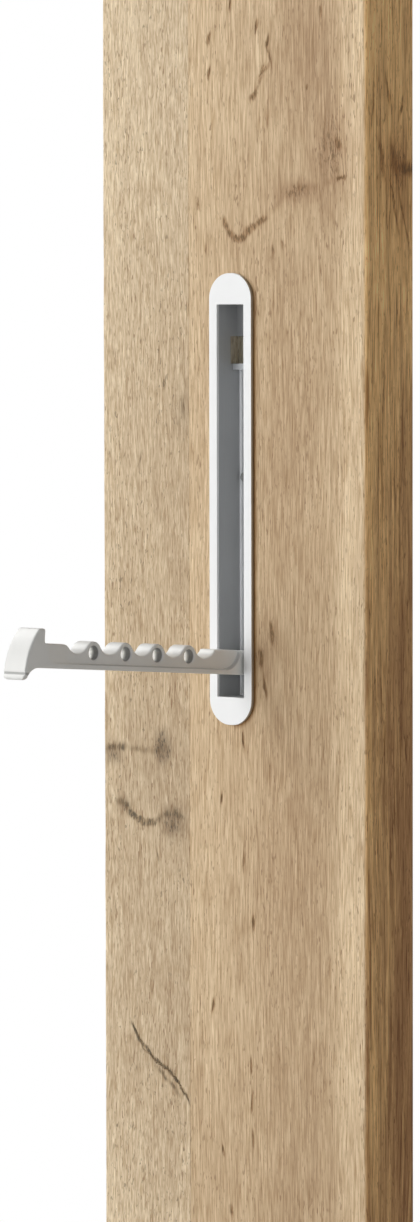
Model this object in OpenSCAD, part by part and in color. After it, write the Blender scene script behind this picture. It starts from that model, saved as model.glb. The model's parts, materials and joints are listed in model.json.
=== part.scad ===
// Coat rack panel: a thick oak board with a fold-out hanger arm let into its front.
// Frame: X to the viewer's right, Y from the front towards the wall, Z up.
// The origin is the centre of the board's back face. All sizes are in millimetres.

/* [Board] */
// Width of the board
board_w = 200; // [170:1:300]
// Height of the board
board_h = 1200; // [1100:10:1800]
// Thickness of the board
board_t = 42; // [38:1:60]
// Width of the left stave; the right stave is the rest
stave_left_w = 66.7; // [40:0.1:80]
// Radius of the board's sawn long edges
edge_r = 1.2; // [0.4:0.1:3]
// Radius of the softened front arris on the right
arris_r = 3; // [1:0.5:8]
// Height of the cover plate's centre above the board's centre
plate_z = 270; // [0:5:290]

/* [Cover plate] */
// Width of the cover plate
plate_w = 32; // [31:0.5:50]
// Height of the cover plate
plate_h = 260; // [258:1:300]
// Thickness of the cover plate, which lies on the board's face
plate_t = 2; // [1:0.1:3]
// Corner radius of the cover plate
plate_corner_r = 15; // [8:0.5:15.5]
// Width of the slot in the cover plate and of the housing inside
slot_w = 20; // [19:0.5:21]
// Height of the slot
slot_h = 226; // [220:1:228]
// Land between the slot and the plate's upper end
slot_land_top = 18; // [16:0.5:20]
// Radius of the studs on the plate's back
stud_r = 2.5; // [1.5:0.1:2.8]
// Length of the studs behind the plate
stud_len = 4.5; // [3:0.1:8]
// Distance from the plate's end to the stud's centre
stud_end = 8.5; // [7.5:0.1:9]

/* [Housing] */
// Depth of the housing inside, from the plate's front
housing_depth = 21; // [20:0.5:30]
// Wall of the housing
housing_wall = 1.2; // [0.8:0.1:1.5]
// Thickness of the housing's rim behind the cover plate
rim_t = 1.5; // [1:0.1:2.5]
// How far the rim stays inside the cover plate's outline
rim_inset = 3.2; // [3:0.1:3.4]
// Clearance between the rim and the pocket in the board
pocket_gap = 0.45; // [0.2:0.05:1]
// Height of the window for the arm's nose
window_h = 15.8; // [14:0.1:20]
// Depth at which the window starts in the side walls
window_depth = 12.2; // [8:0.1:15]
// Room between the window's lower edge and the nose's step
window_below = 3; // [1:0.1:4]
// Thickness of the raised pad above the window
pad_t = 3; // [1:0.1:3.5]
// Extra depth of the wood behind the window
nose_recess = 3; // [2:0.1:8]

/* [Arm] */
// Angle of the open arm above the horizontal
open_tilt = 4; // [0:0.5:8]
// Height of the pivot above the slot's lower edge
pivot_rise = 20.2; // [18:0.1:24]
// Radius of the pivot pin
pin_r = 2.5; // [1.8:0.1:2.8]
// Width of the arm at its block, flange and nose
arm_w = 16.5; // [14:0.1:17]
// Width of the arm's web
web_w = 12; // [8:0.1:13.5]
// Height of the arm below the pivot, which sets the pivot's depth
arm_below = 7.5; // [6:0.1:9]
// Height of the pivot block above the pivot
block_top = 6.7; // [5:0.1:7.5]
// Height of the arm's flat end above the pivot
tip_top = 6.35; // [5.5:0.05:7]
// Height of the flange along the arm's lower edge
flange_h = 2.9; // [1.5:0.1:3.5]
// Length of the pivot block in front of the pivot
block_len = 8.2; // [7:0.1:12]
// Radius of the side pocket's corner next to the pivot block
block_r = 12.5; // [5:0.5:13]
// Radius of the heel behind the pivot
heel_r = 13.3; // [10:0.1:13.4]

/* [Hanger notches] */
// Number of humps, each with an eye
eye_n = 4; // [2:1:4]
// Distance from the pivot to the first eye
eye_first = 50.5; // [46:0.5:51]
// Distance from eye to eye
eye_pitch = 27; // [24:0.5:27]
// Radius of the eyes
eye_r = 3.9; // [2:0.1:4.5]
// Height of the eyes above the pivot
eye_rise = 2.05; // [1:0.05:3]
// Radius of the humps round the eyes
hump_r = 6.5; // [5.5:0.1:7]
// Height of the notches' floor above the pivot
notch_floor = 1.3; // [0:0.1:2]

/* [Nose] */
// Distance from the pivot to the step behind the nose
nose_step = 174.7; // [172:0.1:180]
// Length of the nose from its step to its front
nose_len = 15.8; // [14:0.1:18]
// Height of the nose above the pivot
nose_top = 14.6; // [10:0.1:15.5]
// Radius of the nose's curved front
nose_front_r = 40; // [30:1:60]
// How far the bead along the lip stands in front of the nose's front
lip_bead_out = 0.5; // [0.1:0.1:0.8]
// Drop of the finger lip below the pivot
lip_drop = 14.6; // [13:0.1:18]
// Radius of the bead along the lip
lip_bead_r = 1.6; // [1:0.1:2]
// Radius of the hollow behind the lip
lip_hollow_r = 10.4; // [8:0.1:11]
// Radius of the nose's upright front edges
nose_edge_r = 2.5; // [0.5:0.1:5]
// Length over which the side pockets run out before the nose
pocket_fade = 18; // [5:0.5:20]

/* [Fits] */
// Radial clearance of the arm on its pin
run_gap = 0.05; // [0.02:0.01:0.1]
// Side clearance of the arm between its washers
side_gap = 0.05; // [0.02:0.01:0.2]
// Clearance between the arm and what it rests on
stop_gap = 0.1; // [0.05:0.05:0.3]
// Clearance of studs, screws and pegs in their holes
hole_gap = 0.1; // [0.05:0.05:0.3]

/* [Small parts] */
// Radius of the pin's head
pin_head_r = 3.8; // [3.2:0.1:4.4]
// Thickness of the pin's head
pin_head_t = 1.3; // [0.8:0.1:1.5]
// Length of the pin past its clip
pin_tail = 0.4; // [0.3:0.05:0.5]
// Depth of the clip's groove in the pin
groove = 0.5; // [0.3:0.1:0.8]
// Thickness of the retaining clip
clip_t = 0.6; // [0.4:0.1:0.8]
// Radius of the retaining clip
clip_r = 3.8; // [3.2:0.1:4.4]
// Width of the retaining clip's mouth
clip_mouth = 3.28; // [2.5:0.01:3.8]
// Thickness of the spring washer's sheet
spring_t = 0.35; // [0.2:0.05:0.5]
// Height of the spring washer's cone
spring_cone = 0.15; // [0.05:0.05:0.2]
// Radius of the spring washer
spring_r = 3.8; // [3.2:0.1:4.4]
// Radius of the friction washers
washer_r = 5; // [4:0.1:6.5]
// Radius of the push-on retainers on the plate's studs
retainer_r = 4; // [3.3:0.1:4.2]
// Thickness of the push-on retainers
retainer_t = 0.6; // [0.4:0.1:1]
// Height of the rest buffer
buffer_h = 3.5; // [2:0.1:6]
// Radius of the rest buffer's peg
buffer_peg_r = 1.6; // [1:0.1:1.7]
// Length of the rest buffer's peg
buffer_peg_len = 3.4; // [2:0.1:6]

/* [Screws] */
// Radius of the wood screws' shank
screw_r = 1.75; // [1.2:0.05:2.2]
// Radius of the wood screws' head
screw_head_r = 3.5; // [2.8:0.1:3.8]
// Height of the housing screws' pan head
pan_h = 2; // [1.2:0.1:2.4]
// Radius of the pan head at its top
pan_top_r = 2.8; // [2.2:0.1:3.2]
// Length of the housing screws under the head
housing_screw_len = 16; // [10:1:18]
// Length of the hanging plates' countersunk screws
hanger_screw_len = 16; // [10:1:20]
// Width of the screws' cross slots
cross_w = 0.8; // [0.5:0.1:1.2]
// Length of the screws' cross slots
cross_len = 4.2; // [3:0.1:4.6]
// Depth of the screws' cross slots
cross_depth = 0.9; // [0.5:0.1:1]
// Sideways offset of the housing screws from the middle
housing_screw_x = 5.8; // [3.6:0.1:6.2]
// Height offset of the housing screws from the plate's centre
housing_screw_z = 12.4; // [8:0.1:40]

/* [Wall fixings] */
// Height of the hanging plates' centres above and below the board's centre
hanger_z = 480; // [450:5:500]
// Width of a hanging plate
hanger_w = 24; // [20:0.5:30]
// Height of a hanging plate
hanger_h = 72; // [66:1:100]
// Thickness of a hanging plate, let in flush
hanger_t = 2; // [1.8:0.1:4]
// Distance of a hanging plate's screws from its centre
hanger_screw_z = 28; // [26:0.5:29]
// Radius of the keyhole's entry for a wall screw's head
keyhole_r = 5; // [4.5:0.1:6]
// Radius of the keyhole's narrow end for the wall screw's shank
keyhole_neck_r = 2.5; // [2:0.1:3]
// Rise of the keyhole's narrow end above its entry
keyhole_rise = 11; // [9:0.5:13]
// Room beside and above the wall screw's head behind the plate
keyhole_room = 2; // [1:0.5:3]
// Depth of that room
keyhole_depth = 9; // [5:0.5:14]

/* [Hidden] */
$fn = 96;
// Overlap of a cutter past the face that it cuts
over = 1;

front_y = -board_t;
plate_y = front_y - plate_t;
joint_x = stave_left_w - board_w / 2;
slot_top = plate_z + plate_h / 2 - slot_land_top;
slot_bottom = slot_top - slot_h;
wall_y = plate_y + housing_depth;
floor_y = wall_y + housing_wall;
pocket_inset = rim_inset - pocket_gap;
housing_w = slot_w + 2 * housing_wall;
stud_z = plate_h / 2 - stud_end;

pivot_y = plate_y + arm_below;
pivot_z = slot_bottom + pivot_rise;
notch_r = (pow(eye_pitch / 2, 2) + pow(notch_floor - eye_rise, 2) - pow(hump_r, 2))
    / (2 * (hump_r - notch_floor + eye_rise));
notch_mid = notch_floor + notch_r;
// Height at which a hump's arc turns into a notch's arc
hump_turn = eye_rise + hump_r * (notch_mid - eye_rise) / (hump_r + notch_r);
notch_first = eye_first - eye_pitch / 2;
notch_last = notch_first + eye_n * eye_pitch;
// The flat end's rounding has the humps' radius and touches the last notch's arc
tip_round_v = tip_top - hump_r;
tip_round_u = notch_last + sqrt(pow(hump_r + notch_r, 2) - pow(notch_mid - tip_round_v, 2));
tip_turn = tip_round_v + hump_r * (notch_mid - tip_round_v) / (hump_r + notch_r);
nose_front = nose_step + nose_len;
nose_round_v = lip_bead_r - lip_drop;
heel_end = housing_depth - arm_below - stop_gap;

window_z = pivot_z + nose_step - window_below;
buffer_front = arm_below + tip_top + stop_gap;
washer_t = (slot_w - arm_w) / 2 - side_gap;
spring_x = housing_w / 2;
clip_x = spring_x + spring_t + spring_cone;
pin_end = clip_x + clip_t + pin_tail;

// The screws' points are as long as the shank is wide
screw_point = 2 * screw_r;
countersink = screw_head_r - screw_r;

// A cylinder along Y from y0 to y1, with a second radius for a cone
module rod_y(x, z, y0, y1, r, r2 = -1) {
    translate([x, y0, z])
        rotate([-90, 0, 0])
            cylinder(h = y1 - y0, r1 = r, r2 = r2 < 0 ? r : r2);
}

// A cylinder along X at the pivot, from x0 to x1
module rod_pivot(x0, x1, r) {
    translate([x0, pivot_y, pivot_z])
        rotate([0, 90, 0])
            cylinder(h = x1 - x0, r = r);
}

// A box from its lowest to its highest corner
module span(low, high) {
    translate(low) cube(high - low);
}

// The cover plate's outline, made smaller by an inset on every side
module plate_outline(inset) {
    w = plate_w - 2 * inset;
    h = plate_h - 2 * inset;
    r = plate_corner_r - inset;
    square([w - 2 * r, h], center = true);
    square([w, h - 2 * r], center = true);
    for (sx = [-1, 1], sz = [-1, 1])
        translate([sx * (w / 2 - r), sz * (h / 2 - r)])
            circle(r);
}

// The plate's outline as a slab from y0 to y1
module plate_slab(inset, y0, y1) {
    translate([0, y1, plate_z])
        rotate([90, 0, 0])
            linear_extrude(y1 - y0)
                plate_outline(inset);
}

// The sharp corner outside an arc of radius r, for rounding an edge; its point is at the origin
module corner_waste(r) {
    difference() {
        translate([-over, -over]) square(r + over);
        translate([r, r]) circle(r);
    }
}

// The board's cross-section between x0 and x1
module board_section(x0, x1) {
    difference() {
        translate([x0, front_y]) square([x1 - x0, board_t]);
        translate([-board_w / 2, front_y]) corner_waste(edge_r);
        translate([-board_w / 2, 0]) mirror([0, 1]) corner_waste(edge_r);
        translate([board_w / 2, front_y]) mirror([1, 0]) corner_waste(arris_r);
        translate([board_w / 2, 0]) rotate(180) corner_waste(edge_r);
    }
}

module stave(x0, x1) {
    translate([0, 0, -board_h / 2])
        linear_extrude(board_h)
            board_section(x0, x1);
}

// A keyhole from y0 to y1, grown by room on every side
module keyhole(z, y0, y1, room) {
    neck = keyhole_neck_r + room;
    rod_y(0, z, y0, y1, keyhole_r + room);
    rod_y(0, z + keyhole_rise, y0, y1, neck);
    span([-neck, y0, z], [neck, y1, z + keyhole_rise]);
}

// The hanging plate's outline from y0 to y1
module hanger_slab(z, y0, y1, gap) {
    r = hanger_w / 2 + gap;
    reach = hanger_h / 2 - hanger_w / 2;
    for (s = [-1, 1])
        rod_y(0, z + s * reach, y0, y1, r);
    span([-r, y0, z - reach], [r, y1, z + reach]);
}

module screw_cross(x, z, y0, y1) {
    for (a = [0, 90])
        translate([x, y0, z])
            rotate([0, a, 0])
                translate([-cross_len / 2, 0, -cross_w / 2])
                    cube([cross_len, y1 - y0, cross_w]);
}

// Places of the two housing screws, one on each side of the middle
module at_housing_screws() {
    for (s = [-1, 1])
        translate([s * housing_screw_x, 0, plate_z - s * housing_screw_z])
            children();
}

// Places of the four hanging plate screws
module at_hanger_screws() {
    for (s = [-1, 1], t = [-1, 1])
        translate([0, 0, s * hanger_z + t * hanger_screw_z])
            children();
}

// Pocket for the housing's rim and trough, with the same clearance round both
module housing_pocket() {
    side = housing_w / 2 + pocket_gap;
    end = housing_wall + pocket_gap;
    plate_slab(pocket_inset, front_y - over, floor_y);
    span([-side, front_y - over, slot_bottom - end], [side, floor_y, slot_top + end]);
}

module stave_left() {
    color("burlywood")
        stave(-board_w / 2, joint_x);
}

module stave_right() {
    color("tan")
        difference() {
            stave(joint_x, board_w / 2);
            housing_pocket();
            span(
                [-housing_w / 2, floor_y - over, window_z],
                [housing_w / 2, floor_y + nose_recess, window_z + window_h]
            );
            rod_y(
                0, window_z - buffer_h / 2,
                floor_y - over, wall_y + buffer_peg_len + hole_gap, buffer_peg_r + hole_gap
            );
            at_housing_screws()
                rod_y(0, 0, floor_y - over, wall_y + housing_screw_len + hole_gap, screw_r + hole_gap);
            for (s = [-1, 1]) {
                hanger_slab(s * hanger_z, -hanger_t, over, hole_gap);
                keyhole(s * hanger_z, -hanger_t - keyhole_depth, over, keyhole_room);
            }
            at_hanger_screws()
                rod_y(0, 0, -hanger_screw_len - hole_gap, over, screw_r + hole_gap);
        }
}

module cover_plate() {
    color("whitesmoke") {
        difference() {
            plate_slab(0, plate_y, front_y);
            span([-slot_w / 2, plate_y - over, slot_bottom], [slot_w / 2, front_y + over, slot_top]);
        }
        for (s = [-1, 1])
            rod_y(0, plate_z + s * stud_z, front_y - plate_t / 2, front_y + stud_len, stud_r);
    }
}

// Push-on retainers that hold the plate's studs behind the housing's rim
module plate_retainers() {
    back = front_y + rim_t;
    color("silver")
        for (s = [-1, 1])
            difference() {
                rod_y(0, plate_z + s * stud_z, back, back + retainer_t, retainer_r);
                rod_y(0, plate_z + s * stud_z, back - over, back + retainer_t + over, stud_r + run_gap);
            }
}

// Trough that takes the folded arm, with a rim behind the cover plate
module housing() {
    half = slot_w / 2;
    color("dimgray")
        difference() {
            union() {
                plate_slab(rim_inset, front_y, front_y + rim_t);
                span(
                    [-housing_w / 2, front_y, slot_bottom - housing_wall],
                    [housing_w / 2, floor_y, slot_top + housing_wall]
                );
            }
            span([-half, front_y - over, slot_bottom], [half, wall_y, window_z + window_h]);
            span([-half, front_y - over, window_z + over], [half, wall_y - pad_t, slot_top]);
            span(
                [-housing_w / 2 - over, plate_y + window_depth, window_z],
                [housing_w / 2 + over, floor_y + over, window_z + window_h]
            );
            rod_y(0, window_z - buffer_h / 2, wall_y - over, floor_y + over, buffer_peg_r + hole_gap);
            at_housing_screws()
                rod_y(0, 0, wall_y - over, floor_y + over, screw_r + hole_gap);
            rod_pivot(-housing_w / 2 - over, housing_w / 2 + over, pin_r + run_gap);
            for (s = [0, 1])
                mirror([s, 0, 0])
                    rod_pivot(housing_w / 2, plate_w, max(pin_head_r, clip_r, spring_r) + hole_gap);
            for (s = [-1, 1])
                rod_y(0, plate_z + s * stud_z, front_y - over, front_y + rim_t + over, stud_r + hole_gap);
        }
}

module housing_screws() {
    tip = wall_y + housing_screw_len;
    color("lightgray")
        at_housing_screws()
            difference() {
                union() {
                    rod_y(0, 0, wall_y - pan_h, wall_y, pan_top_r, screw_head_r);
                    rod_y(0, 0, wall_y - over, tip - screw_point, screw_r);
                    rod_y(0, 0, tip - screw_point, tip, screw_r, 0);
                }
                screw_cross(0, 0, wall_y - pan_h - over, wall_y - pan_h + cross_depth);
            }
}

// The arm's side view: u outwards from the pivot, v up
module arm_side() {
    // Bar with the notches and the humps
    difference() {
        translate([0, -arm_below])
            square([tip_round_u, arm_below + max(hump_turn, tip_turn)]);
        for (i = [0:eye_n])
            translate([notch_first + i * eye_pitch, notch_mid])
                circle(notch_r);
        translate([notch_last, tip_turn])
            square([tip_round_u, notch_r]);
    }
    for (i = [0:eye_n - 1])
        translate([eye_first + i * eye_pitch, eye_rise])
            circle(hump_r);
    // Flat end with its rounding
    translate([tip_round_u, tip_round_v])
        circle(hump_r);
    translate([tip_round_u, -arm_below])
        square([nose_step + over - tip_round_u, arm_below + tip_top]);
    // Pivot block
    difference() {
        translate([0, -arm_below])
            square([notch_first, arm_below + block_top]);
        translate([notch_first, notch_mid])
            circle(notch_r);
    }
    heel_side();
    nose_side();
}

// The heel rounds the pivot and ends flat against the housing's back wall when the arm is open
module heel_side() {
    intersection() {
        circle(heel_r);
        translate([-heel_r - over, -arm_below])
            square([heel_r + 2 * over, arm_below + block_top]);
    }
    intersection() {
        rotate(-open_tilt)
            translate([-heel_end, -2 * arm_below])
                square([heel_end, 2 * arm_below]);
        translate([-2 * heel_end, -arm_below])
            square([2 * heel_end, 2 * arm_below]);
    }
}

// The nose with its curved front, its finger lip and the hollow behind the lip
module nose_side() {
    bead_u = nose_front - lip_bead_r + lip_bead_out;
    hollow_u = bead_u - lip_hollow_r;
    difference() {
        intersection() {
            translate([nose_front - nose_front_r, nose_round_v])
                circle(nose_front_r, $fn = 360);
            translate([nose_step, nose_round_v])
                square([nose_len, nose_top - nose_round_v]);
        }
        translate([hollow_u, -arm_below - lip_hollow_r])
            circle(lip_hollow_r);
        translate([nose_step - over, nose_round_v - over])
            square([hollow_u - nose_step + over, over - nose_round_v - arm_below]);
    }
    translate([bead_u, nose_round_v])
        circle(lip_bead_r);
}

// Side view of the pockets beside the web
module pocket_side() {
    low = flange_h - arm_below;
    difference() {
        translate([block_len, low])
            square([nose_step - block_len, nose_top - low]);
        translate([block_len, low])
            corner_waste(block_r);
    }
}

// Plan of one side pocket, which runs out towards the nose
module pocket_plan() {
    fade_end = nose_step - flange_h;
    polygon([
        [0, web_w / 2],
        [fade_end - pocket_fade, web_w / 2],
        [fade_end, arm_w / 2],
        [fade_end, arm_w],
        [0, arm_w]
    ]);
}

// Plan of the arm's outline, with the nose's rounded front edges
module arm_plan() {
    reach = nose_front + over;
    back = 2 * heel_end;
    translate([-back, -arm_w / 2])
        square([back + reach - nose_edge_r, arm_w]);
    translate([0, nose_edge_r - arm_w / 2])
        square([reach, arm_w - 2 * nose_edge_r]);
    for (s = [-1, 1])
        translate([reach - nose_edge_r, s * (arm_w / 2 - nose_edge_r)])
            circle(nose_edge_r);
}

// A plan in u and the arm's width, as a slab through the arm's whole height
module along_height() {
    reach = max(nose_top, lip_drop) + over;
    translate([0, reach, 0])
        rotate([90, 0, 0])
            linear_extrude(2 * reach)
                children();
}

module arm() {
    color("silver")
        translate([0, pivot_y, pivot_z])
            rotate([-open_tilt, 0, 0])
                rotate([90, 0, -90])
                    difference() {
                        intersection() {
                            linear_extrude(arm_w, center = true) arm_side();
                            along_height() arm_plan();
                        }
                        for (s = [0, 1])
                            mirror([0, 0, s])
                                intersection() {
                                    linear_extrude(arm_w) pocket_side();
                                    along_height() pocket_plan();
                                }
                        cylinder(h = 2 * arm_w, r = pin_r + run_gap, center = true);
                        for (i = [0:eye_n - 1])
                            translate([eye_first + i * eye_pitch, eye_rise, 0])
                                cylinder(h = 2 * arm_w, r = eye_r, center = true);
                    }
}

module pivot_pin() {
    color("gainsboro") {
        rod_pivot(-housing_w / 2 - pin_head_t, -housing_w / 2, pin_head_r);
        rod_pivot(-housing_w / 2 - pin_head_t / 2, clip_x, pin_r);
        rod_pivot(clip_x - over, pin_end, pin_r - groove);
        rod_pivot(clip_x + clip_t + run_gap, pin_end, pin_r);
    }
}

// Nylon washer between the arm and one side wall
module friction_washer(side) {
    x = side * (slot_w / 2 - washer_t / 2);
    color("ivory")
        difference() {
            rod_pivot(x - washer_t / 2, x + washer_t / 2, washer_r);
            rod_pivot(x - washer_t, x + washer_t, pin_r + run_gap);
        }
}

// Conical washer that keeps the hinge stiff
module spring_washer() {
    r0 = pin_r + hole_gap;
    color("silver")
        translate([spring_x, pivot_y, pivot_z])
            rotate([0, 90, 0])
                rotate_extrude()
                    polygon([
                        [r0, spring_cone],
                        [spring_r, 0],
                        [spring_r, spring_t],
                        [r0, spring_cone + spring_t]
                    ]);
}

// Open clip in the pin's groove
module retaining_clip() {
    inner = pin_r - groove + run_gap;
    color("gray")
        difference() {
            rod_pivot(clip_x, clip_x + clip_t, clip_r);
            rod_pivot(clip_x - over, clip_x + clip_t + over, inner);
            span(
                [clip_x - over, pivot_y - clip_mouth / 2, pivot_z - clip_r - over],
                [clip_x + clip_t + over, pivot_y + clip_mouth / 2, pivot_z]
            );
        }
}

// Block that the folded arm's flat end rests on
module rest_buffer() {
    color("lightgray") {
        span(
            [hole_gap - slot_w / 2, plate_y + buffer_front, window_z - buffer_h],
            [slot_w / 2 - hole_gap, wall_y, window_z]
        );
        rod_y(0, window_z - buffer_h / 2, wall_y - over, wall_y + buffer_peg_len, buffer_peg_r);
    }
}

module hanging_plate(z) {
    color("lightsteelblue")
        difference() {
            hanger_slab(z, -hanger_t, 0, 0);
            keyhole(z, -hanger_t - over, over, 0);
            for (t = [-1, 1])
                translate([0, 0, z + t * hanger_screw_z]) {
                    rod_y(0, 0, -hanger_t - over, over, screw_r + hole_gap);
                    rod_y(0, 0, -countersink, 0, screw_r + hole_gap, screw_head_r + hole_gap);
                }
        }
}

module hanging_plate_screws() {
    color("gainsboro")
        at_hanger_screws()
            difference() {
                union() {
                    rod_y(0, 0, -hanger_screw_len, screw_point - hanger_screw_len, 0, screw_r);
                    rod_y(0, 0, screw_point - hanger_screw_len, -countersink / 2, screw_r);
                    rod_y(0, 0, -countersink, 0, screw_r, screw_head_r);
                }
                screw_cross(0, 0, -cross_depth, over);
            }
}

stave_left();
stave_right();
cover_plate();
plate_retainers();
housing();
housing_screws();
arm();
pivot_pin();
friction_washer(-1);  // friction_washer_left
friction_washer(1);  // friction_washer_right
spring_washer();
retaining_clip();
rest_buffer();
hanging_plate(hanger_z);  // hanging_plate_upper
hanging_plate(-hanger_z);  // hanging_plate_lower
hanging_plate_screws();
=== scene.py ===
import json
import math
import bmesh
import bpy
from mathutils import Matrix, Vector, noise


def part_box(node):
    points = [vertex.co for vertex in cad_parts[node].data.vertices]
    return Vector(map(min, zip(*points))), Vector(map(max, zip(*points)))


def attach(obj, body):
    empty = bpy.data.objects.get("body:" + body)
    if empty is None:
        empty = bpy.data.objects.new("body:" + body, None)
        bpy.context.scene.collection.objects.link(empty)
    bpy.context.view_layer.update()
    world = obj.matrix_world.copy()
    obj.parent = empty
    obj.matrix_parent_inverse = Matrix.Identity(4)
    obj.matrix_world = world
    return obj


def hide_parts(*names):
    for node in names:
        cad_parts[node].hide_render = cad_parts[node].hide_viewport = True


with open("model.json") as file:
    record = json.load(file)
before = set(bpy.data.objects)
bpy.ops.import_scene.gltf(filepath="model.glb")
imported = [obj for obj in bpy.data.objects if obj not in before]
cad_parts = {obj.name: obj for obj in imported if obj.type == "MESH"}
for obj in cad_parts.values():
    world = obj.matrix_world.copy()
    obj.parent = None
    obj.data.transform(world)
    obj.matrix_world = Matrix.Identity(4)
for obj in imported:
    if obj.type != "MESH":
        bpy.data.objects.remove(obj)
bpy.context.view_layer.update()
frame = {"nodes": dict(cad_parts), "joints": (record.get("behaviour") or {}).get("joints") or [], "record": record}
MM = 0.001

# Places taken from the frame, in metres
PLATE_LOW, PLATE_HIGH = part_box("cover_plate")
BOARD_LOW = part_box("stave_left")[0]
BOARD_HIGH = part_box("stave_right")[1]
JOINT_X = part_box("stave_left")[1].x
FRONT_Y = BOARD_LOW.y
PIVOT = Vector(frame["joints"][0]["pos_m"])

# The same in millimetres, as the materials use them
LEFT_X, RIGHT_X = BOARD_LOW.x / MM, BOARD_HIGH.x / MM
PLATE_MIDDLE_Z = (PLATE_LOW.z + PLATE_HIGH.z) / 2 / MM
PLATE_RADIUS = PLATE_HIGH.x / MM


# Camera: the photograph's view, found from the board's edges and the cover plate
AZIMUTH = math.radians(41)
PITCH = math.radians(2.9)
ROLL = math.radians(-0.12)
IMAGE_W, IMAGE_H = 420, 1222
FOCAL_PX = 6085.0
DISTANCE = 3.499
PLATE_CENTRE_PX = (230.2, 499.5)
SENSOR_MM = 36.0
FARTHEST = 50


def make_camera():
    """Looks so that the centre of the cover plate's front lies at its pixel in the photo."""
    level_part = math.cos(PITCH)
    back = Vector((math.sin(AZIMUTH) * level_part, -math.cos(AZIMUTH) * level_part, math.sin(PITCH)))
    level = Vector((math.cos(AZIMUTH), math.sin(AZIMUTH), 0))
    rise = back.cross(level)
    right = math.cos(ROLL) * level + math.sin(ROLL) * rise
    up = math.cos(ROLL) * rise - math.sin(ROLL) * level
    centre = (PLATE_LOW + PLATE_HIGH) / 2
    centre.y = PLATE_LOW.y
    across = (PLATE_CENTRE_PX[0] - IMAGE_W / 2) / FOCAL_PX * DISTANCE
    above = (IMAGE_H / 2 - PLATE_CENTRE_PX[1]) / FOCAL_PX * DISTANCE
    data = bpy.data.cameras.new("camera")
    data.sensor_width = SENSOR_MM
    data.lens = FOCAL_PX / IMAGE_H * SENSOR_MM
    data.clip_end = FARTHEST
    camera = bpy.data.objects.new("camera", data)
    place = Matrix.Translation(centre - across * right - above * up + DISTANCE * back)
    turn = Matrix((right, up, back)).transposed().to_4x4()
    camera.matrix_world = place @ turn
    bpy.context.scene.collection.objects.link(camera)
    bpy.context.scene.camera = camera


make_camera()


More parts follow.
